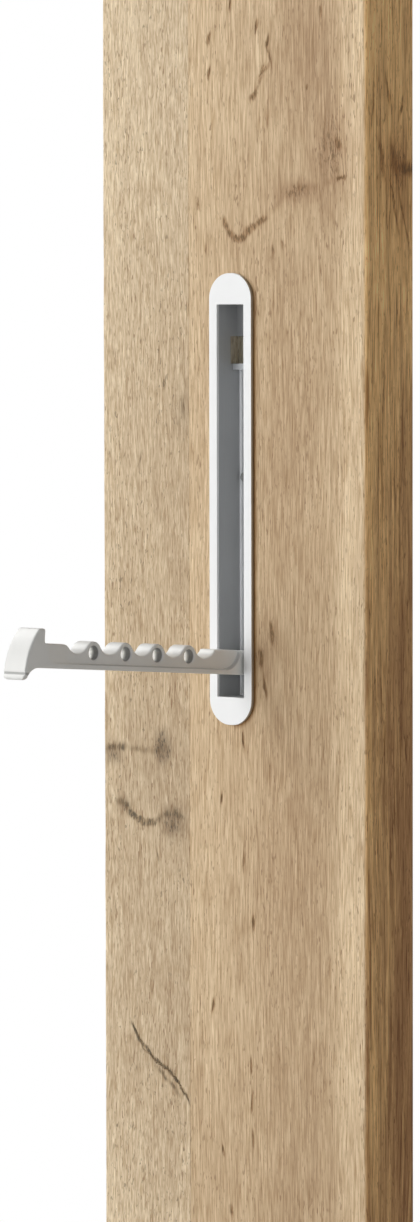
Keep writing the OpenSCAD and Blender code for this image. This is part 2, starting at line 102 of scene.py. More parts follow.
# Node trees are written through this class: its calls add nodes and return their output
class Tree:
    def __init__(self, name, tree=None):
        if tree is None:
            self.material = bpy.data.materials.new(name)
            self.material.use_nodes = True
            tree = self.material.node_tree
        self.tree = tree
        self.tree.nodes.clear()

    def object_place(self):
        """Place in the row frame, in millimetres."""
        return self.vector("SCALE", self.node("ShaderNodeTexCoord").outputs["Object"], scale=1 / MM)

    def node(self, kind, **settings):
        made = self.tree.nodes.new(kind)
        for key, value in settings.items():
            setattr(made, key, value)
        return made

    def feed(self, socket, value):
        if isinstance(value, bpy.types.NodeSocket):
            self.tree.links.new(value, socket)
        elif value is not None:
            socket.default_value = value

    def math(self, operation, a, b=None, c=None, clamp=False):
        made = self.node("ShaderNodeMath", operation=operation, use_clamp=clamp)
        for socket, value in zip(made.inputs, (a, b, c)):
            self.feed(socket, value)
        return made.outputs[0]

    def vector(self, operation, a, b=None, scale=None):
        made = self.node("ShaderNodeVectorMath", operation=operation)
        self.feed(made.inputs[0], a)
        self.feed(made.inputs[1], b)
        if scale is not None:
            self.feed(made.inputs["Scale"], scale)
        return made.outputs["Value" if operation == "LENGTH" else "Vector"]

    def split(self, vector):
        """The x, y and z of a vector."""
        made = self.node("ShaderNodeSeparateXYZ")
        self.feed(made.inputs[0], vector)
        return made.outputs

    def gap(self, a, b):
        """How far apart two numbers are."""
        return self.math("ABSOLUTE", self.math("SUBTRACT", a, b))

    def length(self, a, b):
        """How long a line is that goes a across and b up."""
        return self.math("SQRT", self.math("MULTIPLY_ADD", a, a, self.math("MULTIPLY", b, b)))

    def product(self, total, *others):
        for value in others:
            total = self.math("MULTIPLY", total, value)
        return total

    def highest(self, total, *others):
        for value in others:
            total = self.math("MAXIMUM", total, value)
        return total

    def facing_right(self, low, high):
        """Zero on surfaces whose direction has an x below low, and one above high."""
        normal = self.node("ShaderNodeNewGeometry").outputs["True Normal"]
        return self.ramp(self.split(normal)[0], low, high)

    def ramp(self, value, low, high, out_low=0.0, out_high=1.0, smooth=True):
        """Goes from out_low to out_high as the value goes from low to high, and stays level outside."""
        kind = "SMOOTHSTEP" if smooth else "LINEAR"
        made = self.node("ShaderNodeMapRange", interpolation_type=kind, clamp=not smooth)
        for socket, given in zip(made.inputs, (value, low, high, out_low, out_high)):
            self.feed(socket, given)
        return made.outputs["Result"]

    def mix(self, amount, a, b, blend="MIX"):
        """Blends two colours, which are the node's inputs 6 and 7."""
        made = self.node("ShaderNodeMix", data_type="RGBA", blend_type=blend)
        self.feed(made.inputs[0], amount)
        self.feed(made.inputs[6], a if isinstance(a, bpy.types.NodeSocket) else (*a, 1.0))
        self.feed(made.inputs[7], b if isinstance(b, bpy.types.NodeSocket) else (*b, 1.0))
        return made.outputs[2]

    def noise(self, vector, scale, detail, roughness=0.5, colour=False):
        made = self.node("ShaderNodeTexNoise")
        self.feed(made.inputs["Vector"], vector)
        self.feed(made.inputs["Scale"], scale)
        self.feed(made.inputs["Detail"], detail)
        self.feed(made.inputs["Roughness"], roughness)
        return made.outputs["Color" if colour else "Fac"]

    def curve(self, value, points):
        """A curve through given (x, y) points from x = 0 to x = 1."""
        made = self.node("ShaderNodeFloatCurve")
        self.feed(made.inputs["Value"], value)
        line = made.mapping.curves[0]
        line.points[0].location = points[0]
        line.points[1].location = points[-1]
        for x, y in points[1:-1]:
            line.points.new(x, y)
        made.mapping.update()
        return made.outputs[0]

    def grey(self, value):
        made = self.node("ShaderNodeCombineColor")
        for socket in made.inputs:
            self.feed(socket, value)
        return made.outputs[0]

    def tint(self, colour, factor):
        """Colour times a factor, which is a number socket or a colour."""
        if isinstance(factor, bpy.types.NodeSocket) and factor.type == "VALUE":
            factor = self.grey(factor)
        return self.mix(1.0, colour, factor, "MULTIPLY")

    def tint_where(self, amount, colour, factor):
        """The colour, tinted as far as the amount goes from zero to one."""
        return self.mix(amount, colour, self.tint(colour, factor))

    def bump(self, height, distance, strength):
        made = self.node("ShaderNodeBump")
        made.inputs["Strength"].default_value = strength
        made.inputs["Distance"].default_value = distance
        self.feed(made.inputs["Height"], height)
        return made.outputs[0]

    def surface(self, colour, roughness, normal, **constants):
        """Ends the material; the constants go on the shader's own sockets."""
        shader = self.node("ShaderNodeBsdfPrincipled")
        self.feed(shader.inputs["Base Color"], colour)
        self.feed(shader.inputs["Roughness"], roughness)
        self.feed(shader.inputs["Normal"], normal)
        for key, value in constants.items():
            shader.inputs[key.replace("_", " ")].default_value = value
        out = self.node("ShaderNodeOutputMaterial")
        self.tree.links.new(shader.outputs[0], out.inputs["Surface"])
        return self.material


bpy.context.scene.view_settings.view_transform = "Standard"

# World: the soft light's strength from the sides and from above, and the height that counts as above
AMBIENT_LEVEL = 0.46
AMBIENT_ABOVE = 0.14
ABOVE = 0.9

# Area lamps: place, target, width and height in metres, and power in watts
LAMPS = {
    "key": ((-1.3, -2.75, 0.5), (0, 0, 0.2), 1.9, 2.6, 59),
    "kicker": ((-2.0, -0.55, 2.2), (0, -0.1, 0.2), 0.9, 0.9, 27),
    "fill": ((3.0, -0.9, 0.5), (0, 0, 0.2), 1.6, 2.0, 1.5),
}

# Floor: half its width in metres, its colour, how white it is near the board, and, in millimetres, its
# mottle's size and its fade to white
FLOOR_HALF = 12.0
FLOOR_TINT = (1, 1, 0.99)
FLOOR_SHADES = (0.80, 0.84)
FLOOR_WHITE = 0.7
FLOOR_MOTTLE = 330
FLOOR_FADE = (700, 2700)


def make_world():
    """White to the camera and in reflections; the soft light is weaker from above than from the sides."""
    world = bpy.data.worlds.new("world")
    bpy.context.scene.world = world
    world.use_nodes = True
    t = Tree("world", world.node_tree)
    path = t.node("ShaderNodeLightPath")
    seen = t.highest(*[path.outputs[f"Is {ray} Ray"] for ray in ("Camera", "Glossy", "Transmission")])
    direction = t.node("ShaderNodeTexCoord").outputs["Generated"]
    ambient = t.ramp(t.split(direction)[2], 0.0, ABOVE, AMBIENT_LEVEL, AMBIENT_ABOVE)
    shade = t.node("ShaderNodeBackground")
    shade.inputs["Color"].default_value = (1, 1, 1, 1)
    t.feed(shade.inputs["Strength"], t.highest(seen, ambient))
    out = t.node("ShaderNodeOutputWorld")
    t.feed(out.inputs["Surface"], shade.outputs[0])


def make_lamp(name, place, target, width, height, power):
    data = bpy.data.lights.new(name, "AREA")
    data.shape = "RECTANGLE"
    data.size, data.size_y = width, height
    data.energy = power
    lamp = bpy.data.objects.new(name, data)
    lamp.location = place
    lamp.rotation_euler = (Vector(target) - Vector(place)).to_track_quat("-Z", "Y").to_euler()
    bpy.context.scene.collection.objects.link(lamp)


def make_floor():
    """A pale floor under the board, which fades to white."""
    corners = [(-1, -1), (1, -1), (1, 1), (-1, 1)]
    points = [(x * FLOOR_HALF, y * FLOOR_HALF, BOARD_LOW.z) for x, y in corners]
    mesh = bpy.data.meshes.new("floor")
    mesh.from_pydata(points, [], [(0, 1, 2, 3)])
    floor = bpy.data.objects.new("floor", mesh)
    bpy.context.scene.collection.objects.link(floor)
    t = Tree("floor_paint")
    shader = t.node("ShaderNodeBsdfDiffuse")
    place = t.object_place()
    mottle = t.noise(place, 1 / FLOOR_MOTTLE, 3.0)
    t.feed(shader.inputs["Color"], t.tint(FLOOR_TINT, t.ramp(mottle, 0.3, 0.7, *FLOOR_SHADES)))
    white = t.node("ShaderNodeEmission")
    path = t.node("ShaderNodeLightPath")
    far = t.ramp(t.vector("LENGTH", place), *FLOOR_FADE)
    seen = t.highest(path.outputs["Is Camera Ray"], path.outputs["Is Glossy Ray"])
    far = t.highest(far, FLOOR_WHITE)
    blend = t.node("ShaderNodeMixShader")
    t.feed(blend.inputs[0], t.product(far, seen))
    t.feed(blend.inputs[1], shader.outputs[0])
    t.feed(blend.inputs[2], white.outputs[0])
    out = t.node("ShaderNodeOutputMaterial")
    t.feed(out.inputs["Surface"], blend.outputs[0])
    mesh.materials.append(t.material)


make_world()
for lamp_name, settings in LAMPS.items():
    make_lamp(lamp_name, *settings)
make_floor()


# Oak: one solid texture per stave. Its base colours, from pale to brown
PALE = (0.80, 0.622, 0.405)
TAN = (0.505, 0.355, 0.212)
BROWN = (0.30, 0.18, 0.095)

# Factors on the wood's colour: fibres; the right-hand side near the front, further back and in streaks;
# painted shadow along the cover plate's right-hand edge; in the pocket behind the window
FIBRE_DARK = (0.70, 0.60, 0.50)
FIBRE_LIGHT = (1.21, 1.22, 1.25)
SIDE_NEAR = (1.45, 1.21, 0.84)
SIDE_FAR = (0.62, 0.43, 0.285)
SIDE_STREAK = (0.55, 0.47, 0.40)
PLATE_SHADOW = (0.47, 0.335, 0.18)
POCKET = (1.08, 1.38, 1.85)

# What differs between the staves: the pith's x and y, and the seed; strength of blotches, lean and ticks;
# how much paler the wood gets upwards, and downwards between two heights (darker below zero); the fibres'
# length; factors on all of its colour, in patches and round marks; colours of marks and ticks
LEFT_LOOK = {
    "pith": (-235, -24), "seed": 31.0,
    "mottled": 0.36, "lean": 0.22, "curls": 0.66,
    "paler_up": 0.34, "paler_down": 0.5, "down_from": -10, "down_to": -260,
    "fibre": 9,
    "cast": (0.97, 1.045, 1.125), "patch": (0.53, 0.495, 0.465), "halo": (0.60, 0.56, 0.50),
    "dark": (0.095, 0.075, 0.052), "curl": (0.20, 0.145, 0.085),
}
RIGHT_LOOK = {
    "pith": (265, -18), "seed": 7.0,
    "mottled": 0.18, "lean": 0.04, "curls": 0.25,
    "paler_up": 0.04, "paler_down": -0.17, "down_from": 0, "down_to": -100,
    "fibre": 17,
    "cast": (1.01, 1.045, 1.065), "patch": (0.62, 0.51, 0.44), "halo": (0.70, 0.60, 0.51),
    "dark": (0.14, 0.085, 0.038), "curl": (0.20, 0.125, 0.070),
}

# Sizes of the wood's noises along x, y and z in millimetres, the fibres' width, and the seed's shares
CELLS = {
    "wobble": (18, 18, 140), "blotch": (10, 10, 16), "wisp": (3, 3, 34), "pore": (0.95, 0.95, 5.5),
    "pore_patch": (7, 7, 50), "curl": (1.1, 1.1, 4.4), "crowd": (20, 20, 34), "side": (3.4, 3.4, 90),
    "side_streak": (1.5, 1.5, 62), "ragged": (1.0, 1.0, 3.6),
}
FIBRE_WIDTH = 0.7
SEED_SHIFT = (1, 1.7, 2.3)

# The same for the noises that move a place, with how far each moves it
WARPS = {
    "grain": ((70, 70, 240), (9, 9, 0)), "bent": ((9, 9, 14), (4, 4, 3)), "soft": ((6, 6, 12), (6, 6, 9)),
    "ticks": ((0.9, 0.9, 9), (1.4, 1.4, 8)), "threads": ((1.1, 1.1, 7), (1.2, 1.2, 4.5)),
    "curly": ((5, 5, 9), (5, 5, 4)),
}

# Streaks in the tone, from wide to narrow: size of the noise and amount; then how much wisps gain from lean
STREAKS = [((26, 26, 200), 0.42), ((5, 5, 70), 0.62), ((1.7, 1.7, 34), 0.75)]
WISP_CONTRAST = 3.2

# Growth rings: distance in millimetres, how many rings they wander, how late they darken, their tone
RING_PITCH = 3.1
RING_WOBBLE = 3.0
RING_POWER = 2.5
RING_TONE = 0.14

# Strength of the pores, of dark fibres in knots and of all marks, and the surface's relief
PORE_STRENGTH = 0.78
KNOT_STRENGTH = 0.85
MARK_STRENGTH = 0.82
OAK_RELIEF = 0.2 * MM

# Fades in millimetres, each from its lighter end to its darker one: the paler upper part; the right-hand
# side's colour, and how it deepens backwards and downwards; how deep marks reach under their face
PALER_Z = (580, 200)
SIDE_X = (60, 95)
SIDE_DEEPER_Y = (-34, -6)
SIDE_DEEPER_Z = (430, 120)
FRONT_MARKS_Y = (FRONT_Y / MM + 10, FRONT_Y / MM + 3)
SIDE_MARKS_X = (RIGHT_X - 8, RIGHT_X - 2)

# The pocket behind the window, each pair from outside to inside: at its sides, front, back and two ends
POCKET_X = (16, 12)
POCKET_FRONT_Y = (-39, -36)
POCKET_BACK_Y = (-6, -9)
POCKET_Z = (128, 126)

# The painted shadow on the wood along the cover plate: its width, where it sets in to the right, and how that
# leans
PLATE_SHADOW_WIDTH = 3.8
PLATE_SHADOW_X = (2, 14)
PLATE_SHADOW_LEAN = -0.05

# Tone across the front, from the left edge to the right arris: 0 is pale, 1 is tan
TONE_ACROSS = [
    (0.0, 0.04), (0.05, 0.44), (0.20, 0.60), (0.32, 0.66), (0.345, 0.42), (0.40, 0.46),
    (0.50, 0.56), (0.60, 0.62), (0.70, 0.76), (0.86, 0.70), (0.925, 0.24), (1.0, 0.18),
]

# Short dark marks on the front: x, z, width, height in millimetres, slant in degrees, strength
FLECKS = [
    (-17, 535, 2.4, 10, -14, 0.6), (18.5, 541, 2.6, 9, -12, 0.75), (27, 531, 2.6, 10, -10, 0.75),
    (29, 522, 1.6, 14, 8, 0.5), (22.5, 515, 2.6, 9, -30, 0.7), (16, 501, 4.0, 8, -50, 0.65),
    (-17, 515, 2.4, 10, -12, 0.65), (-1, 554, 2.4, 8, -10, 0.65), (3, 473, 2.0, 9, -6, 0.35),
    (26.5, 489, 2.4, 18, -4, 0.45), (56.5, 505, 1.4, 4, -20, 0.55), (66, 547, 2.4, 10, -5, 0.55),
    (79.5, 472, 5.0, 9, 30, 0.6), (81, 453, 8.0, 3, 8, 0.8), (-20, 414, 1.8, 7, 6, 0.5),
    (31, 413, 2.2, 14, 3, 0.5), (37, 416, 1.6, 6, -4, 0.45), (-25.5, 440, 2.4, 8, 10, 0.5),
    (50, 449, 3.0, 5, 0, 0.45), (21, 179, 3.4, 12, 6, 0.7), (29.5, 194, 3.6, 14, 4, 0.75),
    (24.5, 163, 2.6, 12, 8, 0.75), (8, 131, 2.2, 14, 4, 0.55), (-8.5, 97, 2.2, 8, -4, 0.6),
    (68, 126, 1.8, 12, 3, 0.4), (28, 115, 2.6, 16, 3, 0.4), (8, 62, 2.0, 16, 3, 0.5),
    (39, 48, 1.8, 12, 2, 0.35), (15.5, 27, 2.6, 9, 5, 0.7), (-15.5, -24, 2.4, 10, -6, 0.65),
    (13.5, -57, 2.0, 12, 3, 0.6), (14, -78, 2.0, 14, 2, 0.55), (14.5, -99, 2.0, 12, 3, 0.6),
    (-8, -107, 2.2, 8, 5, 0.6), (-2, -142, 2.4, 9, 5, 0.6), (34, -50, 1.6, 10, 2, 0.35),
    (60.5, -50, 1.8, 12, 3, 0.35), (-44, 86, 3.0, 7, 20, 0.5), (-58, 61, 1.8, 8, 6, 0.4),
    (-37.5, 323, 4.0, 12, 8, 0.35), (-51.5, 337, 1.6, 12, -18, 0.4), (-70.5, 292, 2.2, 12, -16, 0.3),
    (-31.5, 298, 2.6, 12, 6, 0.35), (31, 385, 1.8, 14, 3, 0.4), (52, 376, 1.8, 10, 2, 0.35),
    (37.5, 347, 2.0, 16, 4, 0.35), (45.5, 359, 1.8, 14, 4, 0.3), (23, 260, 1.8, 12, 3, 0.35),
    (64, 284, 1.8, 14, 2, 0.3), (-40, 480, 2.4, 10, -10, 0.25), (-54.5, 260, 1.6, 12, -4, 0.25),
    (12, -190, 2.4, 10, 4, 0.6), (52, -230, 2.0, 12, 2, 0.5), (-22, -262, 2.4, 9, -6, 0.6),
    (70, -300, 2.6, 14, 3, 0.5), (-60, -330, 2.6, 10, 12, 0.5), (28, -352, 2.0, 14, 3, 0.45),
    (-12, -410, 2.6, 10, -4, 0.65), (44, -455, 2.2, 12, 3, 0.5), (-74, -470, 2.2, 9, 8, 0.45),
    (8, -520, 2.4, 12, 2, 0.55), (-40, -560, 2.4, 10, -8, 0.5), (80, 585, 2.2, 10, 4, 0.45),
]

# Thin dark lines on the front: points (x, z) in millimetres, width, strength
LINES = [
    ([(-6.5, 431), (-3, 425), (1, 420), (6, 418.5), (10, 422), (14, 426), (18, 428), (25.5, 431)],
     4.6, 0.62),
    ([(27, 531), (29, 520), (23, 514), (20, 507), (16, 501)], 3.4, 0.4),
    ([(25.5, 432), (38, 442), (50, 447), (67, 449), (80, 453)], 6.0, 0.22),
    ([(-98.5, 121), (-89.5, 123.5), (-82, 123)], 5.0, 0.5),
    ([(-82, 123), (-63, 122), (-54, 124)], 4.5, 0.32),
    ([(-90, 92), (-84.5, 91), (-80.5, 86)], 5.5, 0.5),
    ([(-80.5, 86), (-75, 82), (-67.5, 80), (-60, 80)], 4.0, 0.8),
    ([(-77.5, -40), (-71, -50), (-62, -57), (-49, -64), (-40, -73), (-34.5, -81)], 2.2, 0.85),
    ([(-58, -63), (-49, -71), (-42, -78)], 3.4, 0.4),
    ([(-60, 80), (-54, 85), (-47, 87), (-38.5, 84)], 5.0, 0.4),
]

# The check in the left stave: points (x, z) along it, width and depth, and the share of both at its ends
CRACK = [
    (-77.5, -40), (-75.5, -42), (-73.8, -45.5), (-71.2, -49), (-70, -53), (-66.5, -55.2), (-63, -56.6),
    (-60.5, -59.6), (-56.5, -61), (-53.5, -63.6), (-50, -64), (-47.6, -67), (-44.2, -68), (-42.8, -71),
    (-40.2, -72.6), (-38.8, -76), (-36.2, -77.6), (-34.5, -81),
]
CRACK_WIDTH, CRACK_END_WIDTH = 1.3, 0.35
CRACK_DEPTH, CRACK_END_DEPTH = 3.2, 0.3

# Soft darker patches on the front: x, z, half width, half height, strength
PATCHES = [
    (-54, 124, 9, 13, 1.25), (-92, 119, 9, 9, 0.8), (-83, 90, 9, 9, 0.55), (-46, 82, 12, 13, 0.9),
    (-62, 110, 34, 60, 0.22), (74, 470, 22, 44, 0.7), (60, 522, 28, 56, 0.5), (50, 446, 30, 10, 0.72),
    (24, 178, 11, 30, 0.45), (-37, 320, 9, 18, 0.35), (4, 420, 16, 14, 0.2), (81, 455, 8, 9, 0.6),
    (-62, -58, 22, 14, 0.2), (42, 60, 34, 120, 0.22), (36, 330, 40, 120, 0.16), (80, 472, 7, 8, 0.45),
]

# The same two kinds on the right-hand side, with y in place of x
SIDE_FLECKS = [
    (-36, 500, 2.0, 40, -3, 0.55), (-23, 503, 2.4, 18, 12, 0.6), (-10.5, 494, 2.4, 16, -16, 0.6),
    (-25.5, 487, 2.0, 10, -20, 0.4), (-5, 459, 16, 8, -6, 0.72), (-17, 462, 6, 26, 18, 0.55),
    (-28, 464, 4, 26, 14, 0.5), (-17, 438, 2.2, 40, 14, 0.5), (-9, 432, 2.2, 44, 16, 0.5),
    (-7, 128, 2.2, 18, 4, 0.55), (-21, 384, 2, 40, 2, 0.35), (-26.5, 339, 2, 44, -2, 0.35),
    (-17, 277, 2.2, 34, 3, 0.4), (-12, 288, 2, 40, -2, 0.4), (-12, 237, 2.2, 34, 3, 0.4),
    (-20, 60, 2.2, 50, 3, 0.35), (-10, 20, 2.2, 44, -2, 0.35), (-24, -60, 2, 50, 2, 0.35),
    (-8, -90, 2.4, 40, 3, 0.4), (-16, -220, 2.2, 44, -3, 0.4), (-26, -330, 2.2, 50, 2, 0.35),
    (-12, -430, 4, 16, 10, 0.6), (-18, -500, 2.2, 44, 3, 0.4),
]
SIDE_PATCHES = [(-14, 460, 18, 26, 0.8), (-10, 440, 8, 44, 0.5), (-14, -430, 10, 26, 0.5)]

# Marks are ellipses that darken by their strength times exp(-distance squared), and the darkest one counts.
# PATCH_SHARE and LINE_SHARE turn a patch's half size and the length of a line's step into an ellipse's
NO_MARK = 20.0
PATCH_SHARE = 0.8
LINE_SHARE = 0.7


def add_mark(t, least, place, centre, half, slant, strength):
    """Takes in one mark, turned by slant degrees, on a face whose place is a pair of sockets."""
    (u, v), (middle_u, middle_v), (half_u, half_v) = place, centre, half
    cos, sin = math.cos(math.radians(slant)), math.sin(math.radians(slant))
    shift_u = -(middle_u * cos + middle_v * sin) / half_u
    shift_v = -(middle_v * cos - middle_u * sin) / half_v
    a = t.math("MULTIPLY_ADD", u, cos / half_u, t.math("MULTIPLY_ADD", v, sin / half_u, shift_u))
    b = t.math("MULTIPLY_ADD", u, -sin / half_v, t.math("MULTIPLY_ADD", v, cos / half_v, shift_v))
    away = t.math("MULTIPLY_ADD", a, a, t.math("MULTIPLY_ADD", b, b, -math.log(strength)))
    return t.math("MINIMUM", least, away)


def darkness(t, least):
    return t.math("EXPONENT", t.product(least, -1.0))


def face_flecks(t, place, flecks):
    """Darkness of the flecks on one face."""
    least = NO_MARK
    for u, v, width, height, slant, strength in flecks:
        least = add_mark(t, least, place, (u, v), (width / 2, height / 2), slant, strength)
    return darkness(t, least)


def face_lines(t, place, lines):
    """Darkness of the lines on one face: a chain of long ellipses."""
    least = NO_MARK
    for points, width, strength in lines:
        for (au, av), (bu, bv) in zip(points, points[1:]):
            angle = math.degrees(math.atan2(bv - av, bu - au))
            half = (math.hypot(bu - au, bv - av) * LINE_SHARE, width / 2)
            middle = ((au + bu) / 2, (av + bv) / 2)
            least = add_mark(t, least, place, middle, half, angle, strength)
    return darkness(t, least)


def face_patches(t, place, patches):
    """Darkness of the patches on one face."""
    least = NO_MARK
    for u, v, half_u, half_v, strength in patches:
        half = (half_u * PATCH_SHARE, half_v * PATCH_SHARE)
        least = add_mark(t, least, place, (u, v), half, 0, strength)
    return darkness(t, least)


def cell_noise(t, place, cell, detail=1.0, roughness=0.5, colour=False):
    """Noise of the given size."""
    return t.noise(t.vector("DIVIDE", place, cell), 1.0, detail, roughness, colour)


def centred_noise(t, place, cell, amount, detail=2.0, roughness=0.5):
    """Noise of the given size, from minus to plus half the amount."""
    value = cell_noise(t, place, cell, detail, roughness)
    return t.product(t.math("SUBTRACT", value, 0.5), amount)


def warped(t, place, name):
    """The place, moved by smooth noise."""
    cell, amount = WARPS[name]
    value = cell_noise(t, place, cell, 2.0, colour=True)
    away = t.vector("SUBTRACT", value, (0.5, 0.5, 0.5))
    return t.vector("ADD", place, t.vector("MULTIPLY", away, amount))


def growth_rings(t, grain, pith, shift):
    """From zero to one through each ring round the pith, which is shifted as the grain is."""
    centred = t.vector("SUBTRACT", grain, (pith[0] + shift[0], pith[1] + shift[1], 0))
    radius = t.vector("LENGTH", t.vector("MULTIPLY", centred, (1, 1, 0)))
    wobble = centred_noise(t, grain, CELLS["wobble"], RING_WOBBLE)
    ring = t.math("FRACT", t.math("ADD", t.math("DIVIDE", radius, RING_PITCH), wobble))
    return t.math("POWER", ring, RING_POWER)


def oak_tone(t, x, z, moved, grain, rings, look):
    """How dark the wood is: across it, in streaks, blotches, leaning wisps and rings, and along it."""
    tone = t.curve(t.ramp(x, LEFT_X, RIGHT_X, smooth=False), TONE_ACROSS)
    for cell, amount in STREAKS:
        tone = t.math("ADD", tone, centred_noise(t, grain, cell, amount))
    tone = t.math("ADD", tone, centred_noise(t, moved, CELLS["blotch"], look["mottled"], 3.0, 0.6))
    leaning = t.vector("ADD", moved, t.vector("MULTIPLY", t.grey(z), (look["lean"], 0, 0)))
    wisps = centred_noise(t, leaning, CELLS["wisp"], look["lean"] * WISP_CONTRAST)
    tone = t.math("ADD", tone, wisps)
    tone = t.math("ADD", tone, t.product(rings, RING_TONE))
    tone = t.math("ADD", tone, t.ramp(z, *PALER_Z, -look["paler_up"], 0.0))
    down = t.ramp(z, look["down_from"], look["down_to"], 0.0, -look["paler_down"])
    return t.math("ADD", tone, down)


def pore_field(t, grain):
    """Where the pores are: short dashes along the grain, in patches."""
    dashes = cell_noise(t, grain, CELLS["pore"])
    patchy = cell_noise(t, grain, CELLS["pore_patch"], 2.0)
    return t.product(t.ramp(dashes, 0.61, 0.71), t.ramp(patchy, 0.35, 0.62, 0.3, 1.0))


def curl_field(t, moved):
    """Where the short curly ticks are, in crowds."""
    curly = warped(t, moved, "curly")
    ticks = cell_noise(t, curly, CELLS["curl"])
    crowd = cell_noise(t, moved, CELLS["crowd"])
    return t.product(t.ramp(ticks, 0.64, 0.72), t.ramp(crowd, 0.38, 0.60, 0.25, 1.0))


def right_side(t, colour, x, y, z, grain):
    """The right-hand side is warmer and darker, more so towards the back and further down."""
    side = t.product(t.facing_right(0.20, 0.80), t.ramp(x, *SIDE_X))
    back = t.math("MULTIPLY_ADD", t.ramp(y, *SIDE_DEEPER_Y), 0.6, 0.5)
    deep = t.product(back, t.ramp(z, *SIDE_DEEPER_Z, 0.2, 1.0))
    deep = t.math("ADD", deep, centred_noise(t, grain, CELLS["side"], 2.0), clamp=True)
    colour = t.tint_where(side, colour, t.mix(deep, SIDE_NEAR, SIDE_FAR))
    streak = t.ramp(cell_noise(t, grain, CELLS["side_streak"], 2.0), 0.55, 0.68)
    return t.tint_where(t.product(streak, side), colour, SIDE_STREAK)


def plate_shadow(t, x, z):
    """Painted shadow: how close the wood is to the cover plate's right-hand outline."""
    straight = (PLATE_HIGH.z - PLATE_LOW.z) / 2 / MM - PLATE_RADIUS
    rise = t.math("SUBTRACT", z, PLATE_MIDDLE_Z)
    beyond = t.highest(t.math("SUBTRACT", t.math("ABSOLUTE", rise), straight), 0.0)
    reach = t.length(x, beyond)
    right = t.ramp(t.math("MULTIPLY_ADD", rise, PLATE_SHADOW_LEAN, x), *PLATE_SHADOW_X)
    return t.product(t.ramp(reach, PLATE_RADIUS + PLATE_SHADOW_WIDTH, PLATE_RADIUS), right)


def in_pocket(t, x, y, z):
    """One in the pocket behind the window, and zero in the rest of the wood."""
    beside = t.ramp(t.math("ABSOLUTE", x), *POCKET_X)
    above = t.ramp(t.gap(z, PLATE_MIDDLE_Z), *POCKET_Z)
    return t.product(beside, t.ramp(y, *POCKET_FRONT_Y), t.ramp(y, *POCKET_BACK_Y), above)


def ragged_marks(t, ticks, flecks, lines, stain):
    """The marks with ragged edges, the lines broken, and dark fibres where a patch is strongest."""
    ragged = cell_noise(t, ticks, CELLS["ragged"], 2.0, 0.6)
    torn = t.product(flecks, t.ramp(ragged, 0.3, 0.7, 0.3, 1.8, smooth=False))
    broken = t.product(lines, t.ramp(ragged, 0.40, 0.62, 0.12, 1.9, smooth=False))
    torn = t.highest(torn, broken)
    in_knots = t.product(t.ramp(stain, 0.25, 0.85), t.ramp(ragged, 0.46, 0.62))
    return t.highest(torn, t.product(in_knots, KNOT_STRENGTH))


def oak(name, look, left, right):
    """Oak with the front's marks between two x; the right stave also has those of its side."""
    t = Tree(name)
    p = t.object_place()
    shift = [look["seed"] * part for part in SEED_SHIFT]
    moved = t.vector("ADD", p, shift)
    grain = warped(t, moved, "grain")
    bent = warped(t, p, "bent")
    ticks = warped(t, bent, "ticks")
    threads = warped(t, bent, "threads")
    rings = growth_rings(t, grain, look["pith"], shift)
    x, y, z = t.split(p)

    # Colour of the plain wood
    tone = oak_tone(t, x, z, moved, grain, rings, look)
    colour = t.mix(t.highest(tone, 0.0), PALE, TAN)
    colour = t.tint(t.mix(t.ramp(tone, 0.95, 1.6), colour, BROWN), look["cast"])
    fibre = cell_noise(t, grain, (FIBRE_WIDTH, FIBRE_WIDTH, look["fibre"]), 2.0, 0.65)
    colour = t.tint(colour, t.mix(t.ramp(fibre, 0.32, 0.68, smooth=False), FIBRE_DARK, FIBRE_LIGHT))
    pores = pore_field(t, grain)
    colour = t.mix(t.product(pores, PORE_STRENGTH), colour, BROWN)
    colour = t.mix(t.product(curl_field(t, moved), look["curls"]), colour, look["curl"])
    colour = right_side(t, colour, x, y, z, grain)

    # Marks of the front and of the right-hand side, each only near its own face
    soft = warped(t, p, "soft")
    tick_x, tick_y, tick_z = t.split(ticks)
    soft_x, soft_y, soft_z = t.split(soft)
    near_front = t.ramp(y, *FRONT_MARKS_Y)
    flecks = [mark for mark in FLECKS if left <= mark[0] < right]
    lines = [mark for mark in LINES if left <= mark[0][0][0] < right]
    patches = [mark for mark in PATCHES if left <= mark[0] < right]
    flecks = t.product(face_flecks(t, (tick_x, tick_z), flecks), near_front)
    thread_x, _, thread_z = t.split(threads)
    lines = t.product(face_lines(t, (thread_x, thread_z), lines), near_front)
    stain = t.product(face_patches(t, (soft_x, soft_z), patches), near_front)
    if right > RIGHT_X:
        near_side = t.ramp(x, *SIDE_MARKS_X)
        side_flecks = t.product(face_flecks(t, (tick_y, tick_z), SIDE_FLECKS), near_side)
        side_stain = t.product(face_patches(t, (soft_y, soft_z), SIDE_PATCHES), near_side)
        flecks = t.highest(flecks, side_flecks)
        stain = t.highest(stain, side_stain)
        # Painted shadow on the wood along the cover plate's right-hand edge
        colour = t.tint_where(t.product(plate_shadow(t, x, z), near_front), colour, PLATE_SHADOW)
        colour = t.tint_where(in_pocket(t, x, y, z), colour, POCKET)
    colour = t.tint_where(stain, colour, look["patch"])
    colour = t.tint_where(t.ramp(t.highest(flecks, lines), 0.02, 0.5), colour, look["halo"])
    marks = ragged_marks(t, ticks, flecks, lines, stain)
    colour = t.mix(t.ramp(marks, 0.12, 0.95, 0.0, MARK_STRENGTH), colour, look["dark"])

    rough = t.ramp(fibre, 0.3, 0.7, 0.60, 0.74)
    height = t.math("SUBTRACT", t.product(fibre, 0.5), t.product(pores, 0.7))
    return t.surface(colour, rough, t.bump(height, OAK_RELIEF, 0.6), Specular_IOR_Level=0.22)


oak_left = oak("oak_left", LEFT_LOOK, 2 * LEFT_X, JOINT_X / MM)
oak_right = oak("oak_right", RIGHT_LOOK, JOINT_X / MM, 2 * RIGHT_X)


